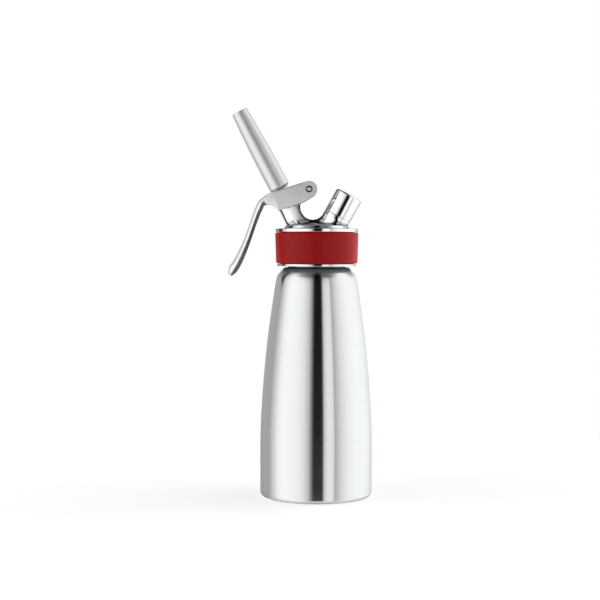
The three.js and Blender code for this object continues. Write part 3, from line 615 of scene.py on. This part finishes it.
# One ring of the trough: the outer side from lip to lip, then the hollow
def leverSection(outer, inner, halfWidth, roundness):
    look = leverLook
    depth = (inner - outer).length
    inwards = (inner - outer).normalized()
    edge = halfWidth - look["taper"] * roundness ** 4
    crownDeep = lerp(look["edge"], depth * look["crown"], roundness)
    crownWide = lerp(look["edge"], halfWidth, roundness)
    side = lerp(look["cheek"], halfWidth * look["sideShare"], roundness)
    web = lerp(look["web"], depth * look["webShare"], roundness)
    hollowWide = lerp(look["edge"] / 2, edge - side, roundness)
    hollowDeep = lerp(look["edge"] / 2, depth * look["hollowShare"] - web, roundness)
    lip = min(look["innerRound"], side / 2.5)
    right = [(edge - lip, depth)]
    for k in range(1, 4):
        angle = k * math.pi / 6
        right.append((edge - lip + lip * math.sin(angle), depth - lip + lip * math.cos(angle)))
    for k in range(13):
        angle = k * math.pi / 24
        right.append((halfWidth - crownWide + crownWide * math.cos(angle), crownDeep * (1 - math.sin(angle))))
    hole = []
    for k in range(10, -1, -1):
        angle = k * math.pi / 20
        hole.append((edge - side - hollowWide * (1 - math.cos(angle)),
                     web + hollowDeep * (1 - math.sin(angle))))
    for k in range(3, 0, -1):
        angle = k * math.pi / 6
        hole.append((edge - side + lip - lip * math.sin(angle), depth - lip + lip * math.cos(angle)))
    hole.append((edge - side + lip, depth))

    def mirrored(row):
        return [(-y, d) for y, d in reversed(row)]

    ring = right + mirrored(right) + mirrored(hole) + hole
    return [Vector((outer.x + inwards.x * d, y, outer.y + inwards.y * d)) for y, d in ring]


def leverStations(perSpan):
    table = [[*a, *b, width, roundness] for a, b, width, roundness in leverRows()]
    last = len(table) - 1
    stations = []
    for i in range(last):
        around = [table[max(i - 1, 0)], table[i], table[i + 1], table[min(i + 2, last)]]
        for k in range(perSpan):
            stations.append([between(*values, k / perSpan) for values in zip(*around)])
    stations.append(table[-1])
    return stations


# Skins a row of equal rings, with flat ends. Faces whose corners all answer to the mark get the second
# material
def skin(rings, marked=None):
    bm = bmesh.new()
    loops = []
    chosen = set()
    for row, ring in enumerate(rings):
        verts = [bm.verts.new(p * mm) for p in ring]
        if marked:
            chosen.update(vert for place, vert in enumerate(verts) if marked(row, place))
        loops.append([bm.edges.new((verts[k - 1], verts[k])) for k in range(len(verts))])
    for low, high in zip(loops, loops[1:]):
        bmesh.ops.bridge_loops(bm, edges=low + high)
    for loop in (loops[0], loops[-1]):
        bmesh.ops.contextual_create(bm, geom=loop)
    for face in bm.faces:
        if chosen and all(vert in chosen for vert in face.verts):
            face.material_index = 1
    bmesh.ops.recalc_face_normals(bm, faces=bm.faces)
    return bm


def makeLever():
    look = leverLook
    rings = []
    for outX, outZ, inX, inZ, width, roundness in leverStations(5):
        ring = leverSection(Vector((outX, outZ)), Vector((inX, inZ)), width * look["halfWidth"],
                            min(max(roundness, 0), 1))
        rings.append([p + pivot for p in ring])

    # Painted shade: the handle's hollow and inner flanks take the darker steel
    def shadedFlank(row, place):
        return row >= look["handleRow"] and place not in look["outerPlaces"]

    lever = meshObject(skin(rings, shadedFlank), "lever_body")
    for material in (leverSteel, shadeCastSteel):
        lever.data.materials.append(material)
    half = look["halfWidth"]
    inner = half - look["cheek"]
    cheeks = ((inner, half), (-half, -inner))
    carve(lever, [crossRod(look["above"], pivot, *ends, 96) for ends in cheeks], "UNION")
    tilted = Matrix.Translation(pivot * mm) @ Matrix.Rotation(-math.radians(look["tilt"]), 4, "Y")
    window = boxMesh((2 * look["window"], 2 * inner, 2 * look["above"]), (0, 0, look["above"]), tilted)
    slots = []
    for shift in (look["slotNear"], -look["slotFar"]):
        place = valvePlace @ Matrix.Translation((shift * mm, 0, 0))
        slots.append(rodMesh(look["slotRadius"], look["pusher"], look["slotTop"], place, 64))
    carve(lever, [window] + slots)
    reach = inner + look["cheek"] / 2
    feet = [(look["pusherInner"], reach), (-reach, -look["pusherInner"])]
    carve(lever, [crossRod(look["pusher"], pusher, *ends) for ends in feet], "UNION")
    carve(lever, [crossRod(look["bushHole"], pivot, -acrossHalf, acrossHalf, 64)])
    dress(lever, leverSteel, "lever", ["lever"], 40)


hingeLook = {
    "pin": 1.5, "pinRound": 0.35, "pinProud": 0.1, "bushInner": 1.75, "bushOuter": 2.45, "bushProud": 0.25,
}


# The pivot pin and the two dark bushes that it turns in
def makeHinge():
    look = hingeLook
    half = leverLook["halfWidth"]
    inner = half - leverLook["cheek"]
    radius, end, edge = look["pin"], half + look["pinProud"], look["pinRound"]
    pin = lathe([(0, -end, 0), (radius, -end, edge), (radius, end, edge), (0, end, 0)], pinPlace, 48)
    piece(pin, "pivot_pin", leverSteel, "head", ["lever_pin"])
    bore, outer, lip = look["bushInner"], look["bushOuter"], half + look["bushProud"]
    for name, low, high in (("front", inner, lip), ("back", -lip, -inner)):
        bush = lathe([(bore, low, 0.1), (outer, low, 0.1), (outer, high, 0.2), (bore, high, 0.2)],
                     pinPlace, 48, closed=True, segments=3)
        piece(bush, "bush_" + name, plastic, "lever", ["lever_bush_" + name])


# Tip: a long tube that narrows to its mouth. Each row of shares is height and radius
tipLook = {
    "base": 10.9, "length": 66.6, "radius": 8.05, "chamfer": 1.5, "wall": 1.1, "thread": 5.3,
    "threadTop": 23.3, "bore": 4.7, "boreRise": 2, "rimRound": 0.45,
    "shares": [(0.06, 1), (0.2, 1), (0.41, 0.975), (0.55, 0.95), (0.66, 0.912), (0.78, 0.876), (0.89, 0.825),
               (1, 0.785)],
}


def makeTip():
    look = tipLook
    base, top, radius = look["base"], look["base"] + look["length"], look["radius"]
    thread, threadTop, rim = look["thread"], look["threadTop"], look["rimRound"]
    side = smoothThrough([(radius * r, base + look["length"] * h) for h, r in look["shares"]], 5)
    mouth = side[-1].x
    outline = fillet([
        (thread, base, 0), (radius - look["chamfer"], base, 0.3), (radius, base + look["chamfer"], 0.8),
        (radius, side[0].y, 0)])[:-1] + side[:-1]
    outline += fillet([
        (side[-2].x, side[-2].y, 0), (mouth, top, rim), (mouth - look["wall"], top, rim),
        (look["bore"], threadTop + look["boreRise"], 0.5), (thread, threadTop, 0), (thread, base, 0)])[1:-1]
    piece(turned(outline, valvePlace, 96, closed=True), "tip_tube", tipSteel, "tip",
          ["decorator_tip"])


# The adapter that the tip screws onto, with its flange, thread and sealing ring
adapterLook = {
    "low": 7.3, "radius": 4.7, "flange": 5.7, "flangeLow": 8.6, "flangeTop": 10.6, "top": 21, "bore": 2.9,
    "boreTop": 17, "channel": 1.7, "groove": 19, "ringWire": 1, "threadDepth": 0.5, "threadPitch": 1.5,
    "turns": 4, "threadLow": 11.6,
}


def makeAdapter():
    look = adapterLook
    bore, radius, flange, channel = look["bore"], look["radius"], look["flange"], look["channel"]
    wire, low, flangeLow, flangeTop = look["ringWire"], look["low"], look["flangeLow"], look["flangeTop"]
    grooveLow, grooveTop = look["groove"] - wire, look["groove"] + wire
    body = lathe([
        (bore, low, 0.2), (radius, low, 0.3), (radius, flangeLow, 0.1), (flange, flangeLow, 0.3),
        (flange, flangeTop, 0.3), (radius, flangeTop, 0.1), (radius, grooveLow, 0.1),
        (radius - wire, grooveLow, 0.1), (radius - wire, grooveTop, 0.1), (radius, grooveTop, 0.1),
        (radius, look["top"], 0.4), (channel, look["top"], 0.2), (channel, look["boreTop"], 0),
        (bore, look["boreTop"], 0)], valvePlace, 64, closed=True, segments=3)
    piece(body, "adapter_body", smallSteel, "valve", ["tip_adapter"])
    rib = threadRib(radius, look["threadDepth"], look["threadPitch"], look["threadLow"], look["turns"],
                    valvePlace)
    piece(rib, "adapter_thread", smallSteel, "valve")
    ring = ringMesh(radius - wire / 4, wire, look["groove"], valvePlace)
    piece(ring, "adapter_seal_ring", rubber, "valve", ["adapter_ring"])


def ringMesh(middle, wire, height, place):
    outline = []
    for k in range(16):
        angle = k * math.pi / 8
        outline.append((middle + wire / 2 * math.cos(angle), height + wire / 2 * math.sin(angle)))
    return turned(outline, place, 64, closed=True)


# Valve: the stem with its collar and ports, the seal and nut at its foot, the ring that seals it, its spring
valveLook = {
    "stem": 3.2, "channel": 1.7, "spigot": 2.2, "foot": -33, "shoulder": -27.15, "collar": 4.6,
    "collarLow": -4.6, "collarTop": -2.1, "shoulderTop": 7, "upper": 2.6, "top": 16.7, "port": 1.1,
    "portHalf": 8, "sealOuter": 5.4, "sealTop": -27.3, "sealHeight": 2, "play": 0.1, "nut": 4.2,
    "nutHeight": 3.4, "nutGap": 0.3, "nutRound": 0.25, "ringWire": 1, "ringAt": -19, "ringPlay": 0.3,
    "springWire": 0.8, "springMiddle": 4.05, "springTop": -4.9, "springLength": 9.8, "springTurns": 5,
    "springSteps": 28, "wirePoints": 10,
}


def makeValve():
    look = valveLook
    radius, spigot, collar, upper = look["stem"], look["spigot"], look["collar"], look["upper"]
    foot, shoulder, shoulderTop, top = look["foot"], look["shoulder"], look["shoulderTop"], look["top"]
    stem = meshObject(lathe([
        (0, foot, 0), (spigot, foot, 0.3), (spigot, shoulder, 0), (radius, shoulder, 0.1),
        (radius, look["collarLow"], 0), (collar, look["collarLow"], 0.2), (collar, look["collarTop"], 0.3),
        (radius, look["collarTop"], 0.1), (radius, shoulderTop, 0.3), (upper, shoulderTop, 0),
        (upper, top, 0.3), (0, top, 0)], valvePlace, 64), "stem_body")
    portAt = shoulder + 2 * look["port"]
    centre = pusher + valveAxis * portAt
    carve(stem, [
        rodMesh(look["channel"], portAt - look["port"], top + past, valvePlace),
        crossRod(look["port"], centre, -look["portHalf"], look["portHalf"])])
    dress(stem, smallSteel, "valve", ["valve_stem"])

    bore, outer, sealTop = spigot + look["play"], look["sealOuter"], look["sealTop"]
    sealLow = sealTop - look["sealHeight"]
    seal = lathe([(bore, sealLow, 0), (outer, sealLow, 0.4), (outer, sealTop, 0.4), (bore, sealTop, 0)],
                 valvePlace, 64, closed=True)
    piece(seal, "stem_seal", rubber, "valve", ["valve_seal"])

    nutTop = sealLow - look["nutGap"]
    nutLow = nutTop - look["nutHeight"]
    nut = rodMesh(look["nut"], nutLow, nutTop, valvePlace, 6)
    rims = [e for e in nut.edges if len(e.link_faces) == 2 and e.calc_face_angle(0) > 0.5]
    bmesh.ops.bevel(nut, geom=rims, affect="EDGES", offset=look["nutRound"] * mm, segments=2, profile=0.5,
                    material=-1)
    nutBody = meshObject(nut, "stem_nut")
    carve(nutBody, [rodMesh(bore, nutLow - 1, nutTop + 1, valvePlace)])
    dress(nutBody, smallSteel, "valve", ["valve_nut"])

    wire = look["ringWire"]
    ring = ringMesh(radius + look["ringPlay"] + wire / 2, wire, look["ringAt"], valvePlace)
    piece(ring, "stem_seal_ring", rubber, "head", ["stem_ring"])
    makeSpring()


def makeSpring():
    look = valveLook
    wire = look["springWire"] / 2
    low = look["springTop"] - look["springLength"]
    rise = look["springLength"] - 4 * wire
    count = look["springTurns"] * look["springSteps"]
    rings = []
    for k in range(count + 1):
        angle = k / look["springSteps"] * 2 * math.pi
        height = low + 2 * wire + rise * k / count
        ring = []
        for j in range(look["wirePoints"]):
            turn = j * 2 * math.pi / look["wirePoints"]
            out = look["springMiddle"] + wire * math.cos(turn)
            up = height + wire * math.sin(turn)
            ring.append(Vector((out * math.cos(angle), out * math.sin(angle), up)))
        rings.append(ring)
    coil = skin(rings)
    coil.transform(valvePlace)
    spring = piece(coil, "stem_spring", smallSteel, "head", ["valve_spring"])
    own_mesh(spring)


# Charger side: the threaded stud, the piercing pin in its holder, the seal and the check valve's disc
chargerLook = {
    "stud": 7.4, "studLow": -7.6, "studTop": 9, "studEdge": 0.6, "pocket": 4.6, "pocketFloor": 4, "bore": 3.7,
    "threadDepth": 0.55, "threadPitch": 1.6, "threadLow": 1.6, "threadTurns": 3.6, "pin": 0.9,
    "pinFlange": 2.2, "pinLow": -7.05, "pinFlangeHeight": 1, "pinTop": 7.2, "pinPoint": 1.8, "play": 0.1,
    "holder": 3.4, "holderGap": 0.3, "holderTop": 3.7, "sealInner": 1.5, "sealOuter": 4.3, "sealLow": 4.3,
    "sealTop": 5.5, "discLow": -8.85, "discTop": -8.05,
}


def makeCharger():
    look = chargerLook
    radius, pocket, bore, floor = look["stud"], look["pocket"], look["bore"], look["pocketFloor"]
    low, top = look["studLow"], look["studTop"]
    stud = lathe([
        (bore, low, 0), (radius, low, 0.3), (radius, top, look["studEdge"]), (pocket, top, 0.3),
        (pocket, floor, 0), (bore, floor, 0)], chargerPlace, 64, closed=True)
    piece(stud, "stud_body", smallSteel, "head", ["charger_stud"])
    rib = threadRib(radius, look["threadDepth"], look["threadPitch"], look["threadLow"], look["threadTurns"],
                    chargerPlace)
    piece(rib, "stud_thread", smallSteel, "head")

    needle, flange, pinLow, pinTop = look["pin"], look["pinFlange"], look["pinLow"], look["pinTop"]
    flangeTop = pinLow + look["pinFlangeHeight"]
    pin = lathe([
        (0, pinLow, 0), (flange, pinLow, 0.1), (flange, flangeTop, 0.1), (needle, flangeTop, 0.1),
        (needle, pinTop - look["pinPoint"], 0.2), (0, pinTop, 0)], chargerPlace, 32)
    piece(pin, "pin_body", smallSteel, "head", ["piercing_pin"])

    inner, outer = needle + look["play"], look["holder"]
    low, top = flangeTop + look["holderGap"], look["holderTop"]
    holder = lathe([(inner, low, 0), (outer, low, 0.2), (outer, top, 0.3), (inner, top, 0)],
                   chargerPlace, 48, closed=True)
    piece(holder, "holder_body", brass, "head", ["pin_holder"])

    inner, outer, low, top = look["sealInner"], look["sealOuter"], look["sealLow"], look["sealTop"]
    seal = lathe([(inner, low, 0.2), (outer, low, 0.2), (outer, top, 0.3), (inner, top, 0.3)],
                 chargerPlace, 48, closed=True)
    piece(seal, "stud_seal", rubber, "head", ["charger_seal"])

    low, top = look["discLow"], look["discTop"]
    disc = lathe([(0, low, 0), (radius, low, 0.2), (radius, top, 0.2), (0, top, 0)], chargerPlace, 48)
    piece(disc, "valve_disc", rubber, "head", ["check_valve_disc"])


# Cap over the charger thread: a plain mirror-polished cylinder with a rounded top
capLook = {"radius": 10.7, "low": 0.15, "length": 18.8, "round": 1.5, "bore": 8.3, "inside": 16.5}


def makeCap():
    look = capLook
    radius, length, low, bore, inside = (look[key] for key in ("radius", "length", "low", "bore", "inside"))
    cap = lathe([
        (0, length, 0), (radius, length, look["round"]), (radius, low, 0.2), (bore, low, 0.2),
        (bore, inside, 1.2), (0, inside, 0)], chargerPlace, 96, segments=8)
    piece(cap, "cap_body", mirrorSteel, "cap", ["charger_cap"])


makeBottle()
makeHead()
makeBand()
makeLever()
makeHinge()
makeTip()
makeAdapter()
makeValve()
makeCharger()
makeCap()

# Studio: a pale floor under a bright surround that is dark round the camera, overhead, and high up behind
# the object. Its strength goes by degrees: "around" from the camera, with plus to the right, and "upward",
# which leans with the ceiling. "backUp" darkens what is high, as far as "behind" lets it, and "ground" is the
# least strength low down
studioLook = {
    "around": [(-180, 0.85), (-114, 0.58), (-100, 0.95), (-85, 1.4), (-70, 1.5), (-42, 1.4), (-28, 1.2),
               (-17, 0.8), (-8, 0.06), (-5, 0.01), (13, 0.01), (15, 0.85), (23, 1.25), (34.5, 1.2),
               (38, 0.58), (43, 0.78), (54, 1.1), (68, 1.32), (85, 1.46), (125, 1.56), (180, 1.45)],
    "upward": [(-90, 0.3), (-50, 0.5), (-25, 1), (40, 1), (56, 0.3), (75, 0.1), (90, 0.1)],
    "ground": [(-90, 0.3), (-65, 0.9), (-31, 0.9), (-25, 0), (90, 0)],
    "behind": [(-180, 1), (-140, 1), (-108, 0), (108, 0), (140, 1), (180, 1)],
    "backUp": [(-90, 1), (11, 1), (25, 0.3), (90, 0.3)],
    "ceilingLean": 24, "floorSize": 0.42, "floorTone": "#f4f4f4", "floorLift": 0.5,
}


# A ramp over degrees: the factor runs from 0 at the first degree to 1 at the last
def strengthRamp(tree, factor, stops):
    node = addNode(tree, "ShaderNodeValToRGB", {}, {"Fac": factor})
    low, high = stops[0][0], stops[-1][0]
    elements = node.color_ramp.elements
    elements[0].position, elements[1].position = 0, 1
    for degrees, _ in stops[1:-1]:
        elements.new((degrees - low) / (high - low))
    for element, (_, strength) in zip(elements, stops):
        element.color = (strength, strength, strength, 1)
    return node.outputs["Color"]


def makeWorld():
    world = bpy.data.worlds.new("studio")
    bpy.context.scene.world = world
    world.use_nodes = True
    tree = world.node_tree
    tree.nodes.clear()
    coords = addNode(tree, "ShaderNodeTexCoord")
    split = addNode(tree, "ShaderNodeSeparateXYZ", {}, {0: coords.outputs["Generated"]})
    back = calculate(tree, "MULTIPLY", split.outputs["Y"], -1)
    turn = mapRange(tree, calculate(tree, "ARCTAN2", split.outputs["X"], back), (-math.pi, math.pi))
    lean = math.radians(studioLook["ceilingLean"])
    height = addNode(tree, "ShaderNodeVectorMath", {"operation": "DOT_PRODUCT"}, {
        0: coords.outputs["Generated"], 1: (0, -math.sin(lean), math.cos(lean))})
    quarter = (-math.pi / 2, math.pi / 2)
    rise = mapRange(tree, calculate(tree, "ARCSINE", height.outputs["Value"]), quarter)
    level = mapRange(tree, calculate(tree, "ARCSINE", split.outputs["Z"]), quarter)
    around = strengthRamp(tree, turn, studioLook["around"])
    upward = strengthRamp(tree, rise, studioLook["upward"])
    behind = strengthRamp(tree, turn, studioLook["behind"])
    backUp = strengthRamp(tree, level, studioLook["backUp"])
    ground = strengthRamp(tree, level, studioLook["ground"])
    walls = mixColours(tree, 1, around, upward, "MULTIPLY")
    room = mixColours(tree, behind, walls, backUp, "MULTIPLY")
    light = mixColours(tree, 1, room, ground, "LIGHTEN")
    surround = addNode(tree, "ShaderNodeBackground", {}, {"Color": light, "Strength": 1})
    plain = addNode(tree, "ShaderNodeBackground", {}, {"Color": (1, 1, 1, 1), "Strength": 1})
    path = addNode(tree, "ShaderNodeLightPath")
    mix = addNode(tree, "ShaderNodeMixShader", {}, {
        0: path.outputs["Is Camera Ray"], 1: surround.outputs[0], 2: plain.outputs[0]})
    addNode(tree, "ShaderNodeOutputWorld", {}, {"Surface": mix.outputs[0]})


# White floor, lifted to the background's white for the camera, so that only the shadow shows. Reflections
# look through it, so the surround's bands run down the steel to its foot
def makeFloor():
    bm = bmesh.new()
    bmesh.ops.create_circle(bm, cap_ends=True, radius=studioLook["floorSize"], segments=64)
    floor = meshObject(bm, "studio_floor")
    material = bpy.data.materials.new("paleFloor")
    material.use_nodes = True
    tree = material.node_tree
    tree.nodes.clear()
    diffuse = addNode(tree, "ShaderNodeBsdfDiffuse", {}, {"Color": linear(studioLook["floorTone"])})
    path = addNode(tree, "ShaderNodeLightPath")
    lift = calculate(tree, "MULTIPLY", path.outputs["Is Camera Ray"], studioLook["floorLift"])
    glow = addNode(tree, "ShaderNodeEmission", {}, {"Strength": lift})
    both = addNode(tree, "ShaderNodeAddShader", {}, {0: diffuse.outputs[0], 1: glow.outputs[0]})
    clear = addNode(tree, "ShaderNodeBsdfTransparent")
    mix = addNode(tree, "ShaderNodeMixShader", {}, {
        0: path.outputs["Is Glossy Ray"], 1: both.outputs[0], 2: clear.outputs[0]})
    addNode(tree, "ShaderNodeOutputMaterial", {}, {"Surface": mix.outputs[0]})
    floor.data.materials.append(material)


# The photo's view: level with the upper half and looking a little down
cameraLook = {
    "place": (-0.0129, -1.032, 0.1879), "down": 2.05, "roll": -0.15, "lens": 80.4, "sensor": 36,
    "clipStart": 0.02,
}


def makeCamera():
    look = cameraLook
    camera = bpy.data.objects.new("photo_camera", bpy.data.cameras.new("photo_camera"))
    camera.location = look["place"]
    camera.rotation_euler = (math.radians(90 - look["down"]), math.radians(look["roll"]), 0)
    camera.data.lens = look["lens"]
    camera.data.sensor_width = look["sensor"]
    camera.data.clip_start = look["clipStart"]
    bpy.context.scene.collection.objects.link(camera)
    bpy.context.scene.camera = camera


makeWorld()
makeFloor()
makeCamera()
bpy.context.scene.view_settings.view_transform = "Standard"
print("scene: studio made")
